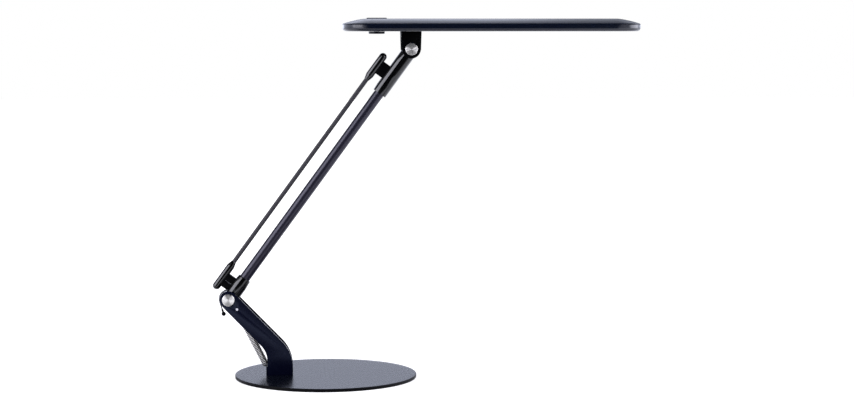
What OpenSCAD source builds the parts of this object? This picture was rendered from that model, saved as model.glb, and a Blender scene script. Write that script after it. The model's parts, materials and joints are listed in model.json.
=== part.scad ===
// Folding LED desk lamp: round base, bent two-plate neck with a counter spring, a tube-and-rod arm
// and a long flat LED head. Millimetres. The origin is the middle of the base's underside, +Z is up,
// the arm and the head lie in the XZ plane and the head points along +X.

/* [Base] */
// Radius of the round base plate
base_r = 110; // [95:1:130]
// Thickness of the steel base plate
base_t = 3.4; // [3:0.1:5]
// Thickness of the foam pad under the plate
pad_t = 0.6; // [0.4:0.1:1.5]

/* [Neck] */
// X of the middle of the neck's foot
foot_x = -55.5; // [-62:0.1:-52]
// Width of the neck's foot
foot_w = 30.8; // [29:0.1:34]
// Width of the slanting part of the neck
neck_w = 21.6; // [20:0.1:22]
// Angle of the slanting part above the table
neck_slant = 46; // [42:1:50]
// Radius of the bend's right edge
neck_bend_out_r = 44; // [40:1:48]
// Radius of the bend's left edge
neck_bend_in_r = 28; // [24:1:32]
// Radius of the neck's round end
neck_eye_r = 10.5; // [10:0.1:10.6]
// Distance between the outer faces of the two neck plates
neck_depth = 25; // [24.8:0.1:26]
// Thickness of each neck plate
neck_t = 3; // [2.5:0.1:3]

/* [Arm] */
// X of the lower pivot
pivot_x = -117.5; // [-122:0.1:-113]
// Z of the lower pivot
pivot_z = 96.4; // [92:0.1:100]
// Distance between the two pivots
arm_len = 374; // [340:1:400]
// Angle of the arm above the table, as it stands
arm_angle = 53.7; // [45:0.1:60]
// Outer radius of the arm tube
tube_r = 6.35; // [5.8:0.05:6.5]
// Radius of the rod beside the tube
rod_r = 2.65; // [2:0.05:3]
// Distance from the tube's axis to the rod's
rod_gap = 22.15; // [20:0.05:24]
// How far the tube's axis passes under the lower pivot
tube_drop = 1.2; // [0:0.1:1.4]
// Angle between the tube and the line through both pivots
tube_turn = 0.1; // [0:0.05:0.2]
// Radius of the lower collar
low_collar_r = 9; // [8.5:0.1:9.1]
// Radius of the upper collar
up_collar_r = 8.85; // [8.2:0.05:8.9]
// Length of the lower collar, measured from the pivot
low_collar_len = 32; // [30:0.5:34]
// Length of the upper collar, measured from the pivot
up_collar_len = 65.6; // [60:0.1:70]
// Radius of the capsules that hold the rod
holder_r = 4.7; // [4.2:0.1:5.2]

/* [Pivots] */
// Radius of the pivot bolts
bolt_r = 3; // [2.5:0.1:3.5]
// Running clearance of the bolts in the arm's two eyes
bolt_play = 0.05; // [0.02:0.01:0.09]
// Radius of the polished caps
cap_r = 7.3; // [6.5:0.1:8]
// Height of the polished caps
cap_h = 3; // [2.6:0.1:3.5]
// Thickness of the friction washers
washer_t = 0.8; // [0.5:0.1:1]

/* [Spring] */
// Outer radius of the counter spring
spring_r = 3.9; // [3.5:0.1:4.2]
// Radius of the spring's wire
spring_wire_r = 0.65; // [0.5:0.05:0.8]
// Angle of the spring's axis below the horizontal
spring_dip = 63.3; // [60:0.1:66]
// Radius of the pulley that the balance wire runs over
pulley_r = 11.3; // [10.8:0.1:11.5]

/* [Head] */
// Length of the head
head_len = 357.4; // [340:0.1:380]
// Width of the head, front to back
head_w = 110; // [100:1:120]
// How far the head reaches to the left of its pivot
head_back = 82; // [78:0.1:86]
// Height of the head's underside above its pivot
head_lift = 21.4; // [20.5:0.1:24]
// Height of the lower shell
low_shell_h = 8; // [7:0.1:9]
// Height of the domed top shell
top_shell_h = 7.1; // [6.5:0.1:8]
// Radius of the head's corners, seen from above
corner_r = 34; // [31:1:38]
// Wall of both shells
wall = 1.8; // [1.6:0.1:2]
// Radius of the lower shell's rounded bottom edge
edge_r = 4.5; // [3.5:0.1:5]
// Length of the light window
window_len = 236; // [216:1:236]
// Width of the light window
window_w = 88; // [80:1:90]

/* [Controls] */
// Distance from the head's pivot back to the button and the dimmer
control_back = 41.1; // [38:0.1:44]
// Radius of the push button on top
button_r = 12.2; // [10:0.1:13]
// How far the button stands out of the top shell
button_up = 1; // [0.9:0.1:2.5]
// Radius of the dimmer knob underneath
knob_r = 9.75; // [8:0.05:11]
// How far the knob hangs below the head
knob_drop = 3.2; // [2.5:0.1:5]

/* [Hidden] */
$fn = 64;
HULL_FN = 32;
BEND_STEPS = 14;
EPS = 0.02;
CUT = 1;

base_top = pad_t + base_t;
foot_left = foot_x - foot_w / 2;
foot_right = foot_x + foot_w / 2;
neck_face = neck_depth / 2;
neck_in = neck_face - neck_t;
bend_turn = 90 - neck_slant;
neck_shoulder = 8;
eye_half = neck_in - washer_t - 0.1;

head_x = pivot_x + arm_len * cos(arm_angle);
head_z = pivot_z + arm_len * sin(arm_angle);
bracket_in = 9.2;
bracket_face = 12.2;
bracket_top_w = 24.4;
bracket_low_w = 23.2;
bracket_end_r = 11.3;
bracket_web = 7;
up_eye_half = bracket_in - washer_t - 0.1;
eye_r = 9.9;
washer_r = 8.4;

// Stretches along the arm, measured from the lower pivot
tube_from = 18;
tube_to = arm_len - 18;
tube_wall = 1;
low_taper = 21;
low_collar_end_r = 7.9;
roller_relief = [10.3, 7.9];
up_relief_len = 8;
up_relief_r = 8.2;
low_holder = [0.2, 40.5];
up_holder = [312.7, 351.2];
holder_taper = 6.5;
low_block = [8, 25.5];
up_block = [325.2, 342.6];
block_slit = 0.7;
screws_at = [26, arm_len - 34];
block_depth = 7;
lead_r = 1.3;

// Neck hardware: the guide pin, the spring's two ends and the cross spacers, as [x, z]
guide = [pivot_x + 10.4, pivot_z - 11.4];
guide_pin_r = 1.5;
roller_r = 2.5;
spring_dir = [cos(spring_dip), -sin(spring_dip)];
spring_mid = [-83.7, 37.3];
spring_from = -31;
spring_to = 24;
anchor_at = 32.5;
anchor = spring_mid + anchor_at * spring_dir;
anchor_r = 1.5;
spacers = [[-86.2, 64], [-63, 40.6]];
spacer_r = 2.5;
wire_r = 0.7;

// The ring on the hub, the angles it lies between, and the ball on the wire's end, in the arm's frame
groove_r = pulley_r - 0.9;
ring_from = 68;
ring_to = 292;
ball_r = 2.6;
ball_reach = 19.1;
ball_turn = 198.3;
wire_ring = groove_r + wire_r;
wire_leaves = ball_turn - acos(wire_ring / ball_reach);
ball_at = ball_reach * [cos(ball_turn), 0, sin(ball_turn)];
wire_tail = wire_ring * [cos(wire_leaves), 0, sin(wire_leaves)];
wire_dir = (wire_tail - ball_at) / norm(wire_tail - ball_at);
sleeve_len = 5.8;
sleeve_r = wire_r + 0.5;

// Foot block, the toe that holds the anchor pin, and the inlet
block_from = -66.3;
block_to = -41.6;
foot_block_h = 18;
toe_from = -72.4;
toe_t = 4;
toe_h = 10.5;
inlet = [-53.5, base_top + 10.5];
inlet_r = 4.5;
inlet_bore_r = 2.75;
inlet_len = 13;
foot_screw_x = [-61.5, -46];
foot_screw_r = 2;
foot_screw_head_r = 3.8;

// Head, in its own frame with the pivot at zero
head_mid = head_len / 2 - head_back;
seam_z = head_lift + low_shell_h;
roof_z = seam_z + top_shell_h;
floor_z = head_lift + wall;
dome = [[0, 0], [2.4, 1.5], [12, 4.2], [21.6, 6.3], [28.6, 7.1]];
window_from = 24;
window_mid = window_from + window_len / 2;
flange = 3;
guide_t = 3;
sheet_t = 0.5;
spreader_t = 1.2;
diffuser_top = floor_z + 1;
guide_top = diffuser_top + guide_t;
sheet_top = guide_top + sheet_t;
led_w = 1.2;
led_len = window_len - 20;
spreader_len = window_len - 8;
led_count = 27;
shell_screws = [[-73, 22], [-73, -22], [266.5, 14], [266.5, -14]];
shell_screw_r = 1.5;
boss_r = 3.2;
bracket_screws = [-6.5, 6.5];
bracket_screw_r = 2;
board_z = 29.6;
board_t = 1.2;
board_len = 52;
board_w = 44;
switch_h = 1.5;
flange_t = 0.8;
knob_shaft_r = 3;
pot_r = 8;

// ---- shared shapes ----

// Puts its children at the lower pivot, with +X along the arm and +Z on the rod's side
module arm_frame() {
    translate([pivot_x, 0, pivot_z]) rotate([0, -arm_angle, 0]) children();
}

// Puts its children on the tube's axis, which passes close by the lower pivot
module tube_frame() {
    arm_frame() translate([0, 0, -tube_drop]) rotate([0, -tube_turn, 0]) children();
}

// Puts its children at the head's pivot
module head_frame() {
    translate([head_x, 0, head_z]) children();
}

// A 2-D outline in the XZ plane, made solid from y = from to y = to
module xz_plate(from, to) {
    translate([0, to, 0]) rotate([90, 0, 0]) linear_extrude(to - from) children();
}

// A cylinder along Y at [x, z], from y = from to y = to
module y_bar(at, r, from, to) {
    translate([at[0], to, at[1]]) rotate([90, 0, 0]) cylinder(r = r, h = to - from);
}

// A cylinder or cone along X, from x = from to x = to
module x_bar(from, to, r1, r2) {
    translate([from, 0, 0]) rotate([0, 90, 0]) cylinder(r1 = r1, r2 = r2, h = to - from);
}

// A round bar between two points
module link_bar(a, b, r) {
    span = b - a;
    reach = norm(span);
    translate(a) rotate([0, acos(span[2] / reach), atan2(span[1], span[0])]) cylinder(r = r, h = reach);
}

// ---- base and foot ----

module base_pad() {
    color("dimgray") difference() {
        cylinder(r = base_r - 5, h = pad_t);
        for (x = foot_screw_x) translate([x, 0, -CUT]) cylinder(r = foot_screw_head_r + 1, h = pad_t + 2 * CUT);
    }
}

module base_plate() {
    rim = 0.5;
    color("#26262b") difference() {
        translate([0, 0, pad_t]) rotate_extrude($fn = 128)
            polygon([[0, 0], [base_r - rim, 0], [base_r, rim], [base_r, base_t - rim], [base_r - rim, base_t],
                     [0, base_t]]);
        for (x = foot_screw_x) translate([x, 0, pad_t]) {
            translate([0, 0, -CUT]) cylinder(r = foot_screw_r + 0.2, h = base_t + 2 * CUT);
            translate([0, 0, -EPS]) cylinder(r1 = foot_screw_head_r + EPS, r2 = foot_screw_r + 0.2, h = 2);
        }
    }
}

module foot_block() {
    color("#3a3a40") difference() {
        union() {
            translate([block_from, -neck_in, base_top])
                cube([block_to - block_from, 2 * neck_in, foot_block_h]);
            for (y = [-neck_in, neck_in - toe_t]) translate([toe_from, y, base_top])
                cube([block_from + CUT - toe_from, toe_t, toe_h]);
        }
        y_bar(anchor, anchor_r, -neck_in - CUT, neck_in + CUT);
        for (x = foot_screw_x) translate([x, 0, base_top - CUT]) cylinder(r = foot_screw_r, h = CUT + 4.6);
        y_bar(inlet, inlet_r, neck_in - inlet_len, neck_in + CUT);
        translate([inlet[0] + 5.5, 0, base_top + 4]) cylinder(r = lead_r, h = foot_block_h);
    }
}

module foot_screws() {
    color("silver") for (x = foot_screw_x) translate([x, 0, pad_t]) difference() {
        union() {
            cylinder(r1 = foot_screw_head_r, r2 = foot_screw_r, h = 2);
            cylinder(r = foot_screw_r, h = base_t + 4.4);
        }
        translate([0, 0, -CUT]) cylinder(r = 1.3, h = CUT + 1.2, $fn = 6);
    }
}

module dc_inlet() {
    color("#18181b") difference() {
        union() {
            y_bar(inlet, inlet_r, neck_in - inlet_len, neck_face);
            y_bar(inlet, inlet_r + 1.2, neck_face, neck_face + 0.8);
        }
        y_bar(inlet, inlet_bore_r, neck_face - 9.5, neck_face + 0.8 + CUT);
    }
}

module inlet_pin() {
    color("gold") y_bar(inlet, 1.05, neck_face - 9.5, neck_face - 1.5);
}

// ---- neck ----

// The outline's edge at the bend: side is -1 for the left edge at x = a and 1 for the right one
function bend_edge(a, side, r) =
    let (off = [side * sin(neck_slant) * neck_w / 2, side * cos(neck_slant) * neck_w / 2],
         corner_z = pivot_z + off[1] - tan(neck_slant) * (a - pivot_x - off[0]),
         mid = [a - r, corner_z - r * tan(bend_turn / 2)])
    [for (i = [0:BEND_STEPS]) let (t = bend_turn * i / BEND_STEPS) mid + r * [cos(t), sin(t)]];

function reversed(list) = [for (i = [len(list) - 1:-1:0]) list[i]];

module neck_outline() {
    across = [sin(neck_slant), cos(neck_slant)];
    pivot = [pivot_x, pivot_z];
    shoulder = pivot + neck_shoulder * [cos(neck_slant), -sin(neck_slant)];
    polygon(concat([[foot_left, base_top], [foot_right, base_top]], bend_edge(foot_right, 1, neck_bend_out_r),
                   [shoulder + neck_w / 2 * across, pivot + neck_eye_r * across, pivot - neck_eye_r * across,
                    shoulder - neck_w / 2 * across],
                   reversed(bend_edge(foot_left, -1, neck_bend_in_r))));
    translate(pivot) circle(r = neck_eye_r);
}

module neck_plate(from, to) {
    difference() {
        xz_plate(from, to) neck_outline();
        y_bar([pivot_x, pivot_z], bolt_r, from - CUT, to + CUT);
        y_bar(guide, guide_pin_r, from - CUT, to + CUT);
        for (at = spacers) y_bar(at, spacer_r, -neck_in - neck_t / 2, neck_in + neck_t / 2);
        if (to > 0) y_bar(inlet, inlet_r, from - CUT, to + CUT);
    }
}

module neck_plate_front() {
    color("#1e212b") neck_plate(-neck_face, -neck_in);
}

module neck_plate_rear() {
    color("#1e212b") neck_plate(neck_in, neck_face);
}

module neck_spacers() {
    color("#2a2a30") for (at = spacers) y_bar(at, spacer_r, -neck_in - neck_t / 2, neck_in + neck_t / 2);
}

module guide_pin() {
    color("lavender") y_bar(guide, guide_pin_r, -neck_face - 0.2, neck_face + 0.2);
}

module guide_roller() {
    color("goldenrod") difference() {
        union() {
            y_bar(guide, roller_r, -3, 3);
            for (y = [-3.8, 3]) y_bar(guide, roller_r + 0.8, y, y + 0.8);
        }
        y_bar(guide, guide_pin_r, -5, 5);
    }
}

module anchor_pin() {
    color("silver") y_bar(anchor, anchor_r, -neck_in, neck_in);
}

// Puts its children on the spring's axis, with +Z running down towards the anchor
module spring_frame() {
    translate([spring_mid[0], 0, spring_mid[1]]) rotate([0, 90 + spring_dip, 0]) children();
}

module counter_spring() {
    hook_r = anchor_r + spring_wire_r + 0.1;
    color("silver") spring_frame() {
        difference() {
            translate([0, 0, spring_from]) cylinder(r = spring_r, h = spring_to - spring_from);
            translate([0, 0, spring_from + 2 * spring_wire_r])
                cylinder(r = spring_r - 2 * spring_wire_r, h = spring_to - spring_from - 4 * spring_wire_r);
        }
        translate([0, 0, spring_to]) cylinder(r = spring_wire_r, h = anchor_at - spring_to - hook_r);
        translate([0, 0, anchor_at]) rotate([90, 0, 0]) rotate_extrude()
            translate([hook_r, 0]) circle(r = spring_wire_r, $fn = 24);
    }
}

// The wire from the spring's top, over the guide roller and up to the pulley
module spring_link() {
    top = spring_mid + spring_from * spring_dir;
    over = roller_r + wire_r + 0.05;
    leave = 12;
    start = guide + over * [cos(90 - spring_dip), sin(90 - spring_dip)];
    color("silver") {
        link_bar([top[0], 0, top[1]], [start[0], 0, start[1]], wire_r);
        translate([guide[0], 0, guide[1]]) rotate([90, 0, 0]) rotate([0, 0, 90 - spring_dip])
            rotate_extrude(angle = 90 + leave) translate([over, 0]) circle(r = wire_r, $fn = 24);
    }
}

// The lamp's lead, clipped inside the neck between the foot block and the hub
module neck_lead() {
    y = 7;
    u = [-cos(neck_slant), sin(neck_slant)];
    side = 5.6 * [sin(neck_slant), cos(neck_slant)];
    low = [pivot_x, pivot_z] + side - 84 * u;
    high = [pivot_x, pivot_z] + side - 24 * u;
    x0 = inlet[0] + 5.5;
    route = [[x0, 0, base_top + foot_block_h - 4], [x0, 0, base_top + foot_block_h + 3], [low[0], y, low[1]],
             [high[0], y, high[1]]];
    color("#202024") {
        for (i = [0:len(route) - 2]) link_bar(route[i], route[i + 1], lead_r);
        for (i = [1:len(route) - 2]) translate(route[i]) sphere(r = lead_r + 0.15);
    }
}

// ---- pivots ----

// A pivot bolt along Y through outer faces at y = -face and y = face, with its flat head in front
module pivot_bolt(face) {
    head_r = 5.2;
    head_h = 1.8;
    y_bar([0, 0], bolt_r, -face, face + 2);
    y_bar([0, 0], head_r, -face - head_h, -face);
}

module pivot_nut(face) {
    translate([0, face + 2, 0]) rotate([90, 0, 0]) difference() {
        cylinder(r = 5.6, h = 2, $fn = 6);
        translate([0, 0, -CUT]) cylinder(r = bolt_r, h = 2 + 2 * CUT);
    }
}

// Two friction washers between the eye and the faces at y = -inner and y = inner
module washers(inner) {
    for (y = [-inner, inner - washer_t]) difference() {
        y_bar([0, 0], washer_r, y, y + washer_t);
        y_bar([0, 0], bolt_r, y - CUT, y + washer_t + CUT);
    }
}

// A polished cup that hides a bolt head or a nut; side is -1 in front and 1 behind
module pivot_cap(face, side) {
    edge = 0.6;
    cup = cap_r - 1.1;
    rotate([-90 * side, 0, 0]) translate([0, 0, face]) rotate_extrude()
        polygon([[cup, 0], [cap_r, 0], [cap_r, cap_h - edge], [cap_r - edge, cap_h], [0, cap_h],
                 [0, cap_h - 0.8], [cup, cap_h - 0.8]]);
}

module at_lower_pivot() {
    translate([pivot_x, 0, pivot_z]) children();
}

module lower_bolt() {
    color("silver") at_lower_pivot() pivot_bolt(neck_face);
}

module lower_nut() {
    color("silver") at_lower_pivot() pivot_nut(neck_face);
}

module lower_washers() {
    color("ivory") at_lower_pivot() washers(neck_in);
}

module lower_cap_front() {
    color("silver") at_lower_pivot() pivot_cap(neck_face, -1);
}

module lower_cap_rear() {
    color("silver") at_lower_pivot() pivot_cap(neck_face, 1);
}

module upper_bolt() {
    color("silver") head_frame() pivot_bolt(bracket_face);
}

module upper_nut() {
    color("silver") head_frame() pivot_nut(bracket_face);
}

module upper_washers() {
    color("ivory") head_frame() washers(bracket_in);
}

module upper_cap_front() {
    color("silver") head_frame() pivot_cap(bracket_face, -1);
}

module upper_cap_rear() {
    color("silver") head_frame() pivot_cap(bracket_face, 1);
}

// ---- arm, in the arm's frame ----

// The lower collar; a flat cut near the pivot lets it pass the guide roller
module low_collar_body() {
    difference() {
        union() {
            x_bar(0, low_taper, low_collar_r, low_collar_r);
            x_bar(low_taper, low_collar_len, low_collar_r, low_collar_end_r);
        }
        translate([-CUT, -15, -roller_relief[1] - 5]) cube([roller_relief[0] + CUT, 30, 5]);
    }
}

module lower_knuckle() {
    color("#0c0c10") difference() {
        union() {
            arm_frame() y_bar([0, 0], eye_r, -eye_half, eye_half);
            tube_frame() low_collar_body();
        }
        arm_frame() {
            y_bar([0, 0], bolt_r + bolt_play, -neck_face, neck_face);
            for (side = [-1, 1]) translate([0, side * (eye_half + 5), 0])
                cube([2 * (washer_r + 0.6), 10, 30], center = true);
        }
        tube_frame() {
            x_bar(tube_from, low_collar_len + CUT, tube_r, tube_r);
            x_bar(eye_r + 0.6, tube_from + CUT, lead_r, lead_r);
            collar_screw_holes(screws_at[0]);
        }
    }
}

// The grooved zinc ring on the hub; it is open where the collar leaves
module wire_pulley() {
    half = 3;
    color("#9a9aa0") arm_frame() rotate([90, 0, 0]) rotate([0, 0, ring_from])
        rotate_extrude(angle = ring_to - ring_from)
            polygon([[eye_r, -half], [pulley_r, -half], [pulley_r, -wire_r - 0.3], [groove_r, -wire_r],
                     [groove_r, wire_r], [pulley_r, wire_r + 0.3], [pulley_r, half], [eye_r, half]]);
}

// The wire in the groove, and its straight tail down to the ball; the two are drawn EPS apart
module balance_wire() {
    start = ring_from + 2;
    color("#b4b4ba") arm_frame() {
        rotate([90, 0, 0]) rotate([0, 0, start]) rotate_extrude(angle = wire_leaves - start)
            translate([wire_ring, 0]) circle(r = wire_r, $fn = 24);
        link_bar(wire_tail - EPS * wire_dir, ball_at + wire_dir, wire_r);
    }
}

// The ball and its crimped sleeve, with the hole that the wire's end sits in
module wire_ball() {
    color("#0a0a0c") arm_frame() difference() {
        union() {
            translate(ball_at) sphere(r = ball_r, $fn = 48);
            link_bar(ball_at, ball_at + sleeve_len * wire_dir, sleeve_r);
        }
        link_bar(ball_at + wire_dir, ball_at + (sleeve_len + CUT) * wire_dir, wire_r);
    }
}

module arm_tube() {
    color("#33343c") tube_frame() difference() {
        x_bar(tube_from, tube_to, tube_r, tube_r);
        x_bar(tube_from - CUT, tube_to + CUT, tube_r - tube_wall, tube_r - tube_wall);
    }
}

module arm_lead() {
    color("#202024") tube_frame() x_bar(eye_r + 1, arm_len - eye_r - 1, lead_r, lead_r);
}

module side_rod() {
    color("#45464c") tube_frame() translate([0, 0, rod_gap])
        x_bar(low_holder[0] + holder_r, up_holder[1] - holder_r, rod_r, rod_r);
}

// A capsule round the rod: a ball at x = 0 and a taper that ends at x = reach; hollow for the rod
module rod_holder(reach, hollow) {
    difference() {
        union() {
            translate([holder_r, 0, 0]) sphere(r = holder_r);
            x_bar(holder_r, reach - holder_taper, holder_r, holder_r);
            x_bar(reach - holder_taper, reach, holder_r, rod_r + 0.3);
        }
        if (hollow) x_bar(holder_r, reach + CUT, rod_r, rod_r);
    }
}

module low_holder_body(hollow) {
    translate([low_holder[0], 0, rod_gap]) rod_holder(low_holder[1] - low_holder[0], hollow);
}

module up_holder_body(hollow) {
    translate([up_holder[1], 0, rod_gap]) mirror([1, 0, 0]) rod_holder(up_holder[1] - up_holder[0], hollow);
}

module lower_rod_holder() {
    color("#0c0c10") tube_frame() low_holder_body(true);
}

module upper_rod_holder() {
    color("#0c0c10") tube_frame() up_holder_body(true);
}

// The block between a collar and its capsule, over the given stretch of the arm
module rod_block(stretch) {
    translate([stretch[0], -block_depth / 2, 0]) cube([stretch[1] - stretch[0], block_depth, rod_gap]);
}

module lower_rod_block() {
    mid = (low_block[0] + low_block[1]) / 2;
    color("#141418") difference() {
        tube_frame() {
            rod_block([low_block[0], mid - block_slit / 2]);
            rod_block([mid + block_slit / 2, low_block[1]]);
        }
        tube_frame() {
            low_collar_body();
            low_holder_body(false);
        }
        arm_frame() y_bar([0, 0], pulley_r + 0.3, -neck_in, neck_in);
    }
}

module upper_rod_block() {
    color("#141418") tube_frame() difference() {
        rod_block(up_block);
        up_collar_body();
        up_holder_body(false);
    }
}

// The upper collar; a slanting cut thins its end on the rod's side
module up_collar_body() {
    start = arm_len - up_collar_len;
    slope = atan((up_collar_r - up_relief_r) / up_relief_len);
    difference() {
        x_bar(start, arm_len, up_collar_r, up_collar_r);
        translate([start, 0, up_relief_r]) rotate([0, -slope, 0])
            translate([-CUT, -up_collar_r, 0]) cube([up_relief_len + 2 * CUT, 2 * up_collar_r, up_collar_r]);
    }
}

module upper_knuckle() {
    color("#0c0c10") difference() {
        union() {
            tube_frame() up_collar_body();
            arm_frame() y_bar([arm_len, 0], up_collar_r, -up_eye_half, up_eye_half);
        }
        arm_frame() {
            y_bar([arm_len, 0], bolt_r + bolt_play, -bracket_face, bracket_face);
            translate([arm_len, 0, 0]) x_bar(up_collar_r - 1, up_collar_r + CUT, 20, 20);
            for (side = [-1, 1]) translate([arm_len - 12, side * (up_eye_half + 5), 0])
                cube([50, 10, 30], center = true);
        }
        tube_frame() {
            x_bar(arm_len - up_collar_len - CUT, tube_to, tube_r, tube_r);
            x_bar(tube_to - CUT, arm_len - eye_r + 0.6, lead_r, lead_r);
            collar_screw_holes(screws_at[1]);
        }
    }
}

// Grub screws come in from behind, at the given distance along the arm
module collar_screw_holes(at) {
    y_bar([at, 0], 1.5, tube_r - 0.5, 12);
}

module collar_screws() {
    color("silver") tube_frame() for (at = screws_at) difference() {
        y_bar([at, 0], 1.5, tube_r, tube_r + 2);
        y_bar([at, 0], 0.75, tube_r + 1, tube_r + 3, $fn = 6);
    }
}

// ---- head, in the head's frame ----

module bracket_outline() {
    neckline = head_lift - 2;
    polygon([[-bracket_low_w / 2, 0], [bracket_low_w / 2, 0], [bracket_top_w / 2, neckline],
             [bracket_top_w / 2, head_lift], [-bracket_top_w / 2, head_lift], [-bracket_top_w / 2, neckline]]);
    circle(r = bracket_end_r);
    translate([-bracket_low_w / 2, -1]) square([bracket_low_w, 1 + EPS]);
}

module head_bracket() {
    color("#0c0c10") head_frame() difference() {
        xz_plate(-bracket_face, bracket_face) bracket_outline();
        translate([-25, -bracket_in, -25]) cube([50, 2 * bracket_in, 25 + head_lift - bracket_web]);
        y_bar([0, 0], bolt_r, -bracket_face - CUT, bracket_face + CUT);
        for (x = bracket_screws) translate([x, 0, 0]) cylinder(r = bracket_screw_r, h = head_lift + CUT);
        cylinder(r = lead_r, h = head_lift + CUT);
    }
}

module bracket_screws() {
    color("silver") head_frame() for (x = bracket_screws) translate([x, 0, 0]) {
        translate([0, 0, floor_z]) cylinder(r = 3.2, h = 1.6);
        translate([0, 0, head_lift - bracket_web + 0.5]) cylinder(r = bracket_screw_r, h = bracket_web + wall - 0.5);
    }
}

// A thin slice of the head's plan, drawn in from the outline by inset
module plan_slice(inset, z) {
    translate([head_mid, 0, z]) linear_extrude(EPS) offset(r = corner_r - inset)
        square([head_len - 2 * corner_r, head_w - 2 * corner_r], center = true);
}

// A flat rectangle of the light window's kind, with its corners cut off
module cut_box(size, z, h) {
    x = size[0] / 2;
    y = size[1] / 2;
    cut = 4;
    translate([window_mid, 0, z]) linear_extrude(h)
        polygon([[-x + cut, -y], [x - cut, -y], [x, -y + cut], [x, y - cut], [x - cut, y], [-x + cut, y],
                 [-x, y - cut], [-x, -y + cut]]);
}

module head_lower_shell() {
    $fn = HULL_FN;
    color("#16171d") head_frame() difference() {
        hull() {
            for (a = [0:30:90]) plan_slice(edge_r * (1 - sin(a)), head_lift + edge_r * (1 - cos(a)));
            plan_slice(0, seam_z - EPS);
        }
        hull() {
            plan_slice(edge_r, floor_z);
            plan_slice(wall, floor_z + edge_r - wall);
            plan_slice(wall, seam_z + CUT);
        }
        cut_box([window_len, window_w], head_lift - CUT, wall + 2 * CUT);
        for (x = bracket_screws) translate([x, 0, head_lift - CUT]) cylinder(r = bracket_screw_r, h = 4);
        translate([0, 0, head_lift - CUT]) cylinder(r = lead_r, h = 4);
        translate([-control_back, 0, head_lift - CUT]) cylinder(r = knob_shaft_r + 0.3, h = 4);
        for (at = shell_screws) translate([at[0], at[1], head_lift - CUT]) {
            cylinder(r = shell_screw_r, h = 4);
            cylinder(r = 2.9, h = CUT + 0.8);
        }
    }
}

module head_top_shell() {
    color("#1a1b21") head_frame() {
        difference() {
            hull() for (p = dome) plan_slice(p[0], seam_z + p[1] - (p[1] > 0 ? EPS : 0), $fn = HULL_FN);
            hull() for (p = dome) plan_slice(p[0] + wall, seam_z + p[1] - wall, $fn = HULL_FN);
            translate([-control_back, 0, seam_z]) cylinder(r = button_r + 0.3, h = 20);
        }
        for (at = shell_screws) translate([at[0], at[1], floor_z]) difference() {
            cylinder(r = boss_r, h = seam_z - floor_z + 1.7);
            translate([0, 0, -CUT]) cylinder(r = shell_screw_r, h = CUT + 5);
        }
    }
}

module shell_screws() {
    color("silver") head_frame() for (at = shell_screws) translate([at[0], at[1], head_lift]) difference() {
        union() {
            cylinder(r = 2.8, h = 0.8);
            cylinder(r = shell_screw_r, h = 6);
        }
        translate([0, 0, -CUT]) cylinder(r = 1, h = CUT + 0.5, $fn = 6);
    }
}

module diffuser() {
    slack = 0.2;
    color("whitesmoke") head_frame() {
        cut_box([window_len - slack, window_w - slack], head_lift + 0.1, wall - 0.1);
        cut_box([window_len + flange, window_w + flange], floor_z, diffuser_top - floor_z);
    }
}

module light_guide() {
    color("azure") head_frame() cut_box([window_len + flange, window_w + flange], diffuser_top, guide_t);
}

module reflector_sheet() {
    color("white") head_frame() cut_box([window_len + flange, window_w + flange], guide_top, sheet_t);
}

module led_strips() {
    edge = (window_w + flange) / 2;
    pitch = led_len / led_count;
    color("khaki") head_frame() for (side = [-1, 1]) {
        translate([window_mid, side * (edge + led_w + 0.5), diffuser_top + guide_t / 2])
            cube([led_len, 1, guide_t], center = true);
        for (i = [0:led_count - 1])
            translate([window_mid - led_len / 2 + (i + 0.5) * pitch, side * (edge + led_w / 2),
                       diffuser_top + guide_t / 2])
                cube([3, led_w, 1.6], center = true);
    }
}

module heat_spreader() {
    color("lightgray") head_frame() cut_box([spreader_len, window_w + flange], sheet_top, spreader_t);
}

module driver_module() {
    color("seagreen") head_frame() translate([-19, -20, 26.6]) {
        cube([36, 40, 1.2]);
        translate([4, 5, 1.2]) cube([12, 14, 4]);
        translate([22, 22, 1.2]) cube([9, 12, 3.2]);
        translate([24, 10, 1.2]) cylinder(r = 3, h = 4);
    }
}

module control_board() {
    color("darkgreen") head_frame() translate([-control_back - 1, 0, board_z]) difference() {
        translate([-board_len / 2, -board_w / 2, 0]) cube([board_len - 8, board_w, board_t]);
        for (y = [-18, 18]) translate([-20, y, -CUT]) cylinder(r = 1.2, h = board_t + 2 * CUT);
    }
}

module tact_switch() {
    color("#303036") head_frame() translate([-control_back, 0, board_z + board_t]) {
        translate([-3, -3, 0]) cube([6, 6, switch_h - 0.6]);
        cylinder(r = 1.6, h = switch_h);
    }
}

module dimmer_pot() {
    color("steelblue") head_frame() translate([-control_back, 0, floor_z]) difference() {
        cylinder(r = pot_r, h = board_z - floor_z);
        translate([0, 0, -CUT]) cylinder(r = knob_shaft_r + 0.08, h = CUT + 4);
    }
}

// ---- controls ----

module push_button() {
    flange_top = roof_z - wall - 0.7;
    color("#5a5c66") head_frame() translate([-control_back, 0, 0]) {
        translate([0, 0, flange_top]) cylinder(r = button_r, h = roof_z + button_up - 0.4 - flange_top);
        translate([0, 0, roof_z + button_up - 0.4]) cylinder(r1 = button_r, r2 = button_r - 0.4, h = 0.4);
        translate([0, 0, flange_top - flange_t]) cylinder(r = button_r + 1, h = flange_t);
    }
}

module dimmer_knob() {
    top = head_lift - 0.4;
    low = head_lift - knob_drop;
    color("#3c3d44") head_frame() translate([-control_back, 0, 0]) {
        translate([0, 0, low]) cylinder(r1 = knob_r - 0.5, r2 = knob_r, h = 0.5);
        translate([0, 0, low + 0.5]) cylinder(r = knob_r, h = top - low - 0.5);
        translate([0, 0, top]) cylinder(r = knob_shaft_r, h = floor_z + 3.5 - top);
    }
}

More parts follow.
